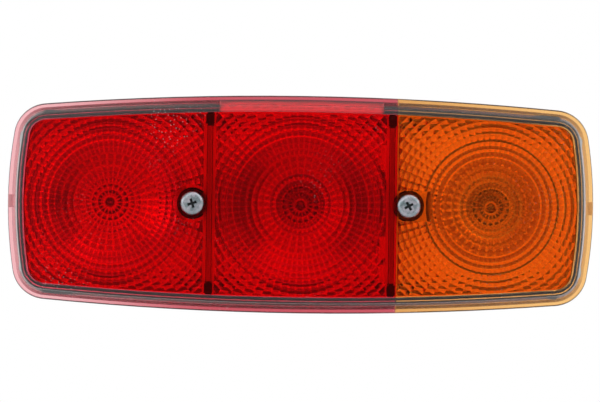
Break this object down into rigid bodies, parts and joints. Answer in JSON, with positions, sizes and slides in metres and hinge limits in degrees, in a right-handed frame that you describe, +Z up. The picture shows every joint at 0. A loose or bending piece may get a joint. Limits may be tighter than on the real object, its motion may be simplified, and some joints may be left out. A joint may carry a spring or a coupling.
{
  "type": "tail light cluster",
  "caption": "Rear lamp cluster with a bowed oblong face: red tail and stop lens welded to an amber indicator lens, screwed over a black base with bulbs, rear studs and a cable grommet.",
  "frame": {"origin": "midway between the mounting studs, on the mounting face at the back of the base", "axes": "+X along the lamp towards the indicator end, +Y out of the back along the studs, +Z up"},
  "size_m": [0.234, 0.0862, 0.087],
  "materials": {
    "black_plastic": "fine moulded grain",
    "seal_rubber": "matt black rubber",
    "red_lens": "clear red acrylic, polished outside, prismatic inside",
    "amber_lens": "clear amber acrylic, polished outside, prismatic inside",
    "plated_steel": "bright zinc plate",
    "brass": "bright brass",
    "metallised_plastic": "vacuum metallised mirror coat",
    "bulb_glass": "clear blown glass",
    "bulb_wire": "drawn wire",
    "black_glass": "black glass",
    "solder": "tinned"
  },
  "bodies": {
    "root": {"base_housing": "black_plastic", "lens_seal": "seal_rubber", "lens_red": "red_lens", "lens_amber": "amber_lens", "lens_screws": "plated_steel", "screw_inserts": "brass", "mounting_studs": "plated_steel", "cable_grommet": "seal_rubber", "earth_strip": "brass", "socket_rivets": "plated_steel", "tail_reflector": "metallised_plastic", "tail_bulb_glass": "bulb_glass", "tail_bulb_filament": "bulb_wire", "tail_bulb_cap": "brass", "tail_bulb_insulator": "black_glass", "tail_bulb_contact": "solder", "tail_socket": "plated_steel", "tail_feed_strip": "brass", "stop_reflector": "metallised_plastic", "stop_bulb_glass": "bulb_glass", "stop_bulb_filament": "bulb_wire", "stop_bulb_cap": "brass", "stop_bulb_insulator": "black_glass", "stop_bulb_contact": "solder", "stop_socket": "plated_steel", "stop_feed_strip": "brass", "indicator_reflector": "metallised_plastic", "indicator_bulb_glass": "bulb_glass", "indicator_bulb_filament": "bulb_wire", "indicator_bulb_cap": "brass", "indicator_bulb_insulator": "black_glass", "indicator_bulb_contact": "solder", "indicator_socket": "plated_steel", "indicator_feed_strip": "brass"}
  },
  "joints": []
}
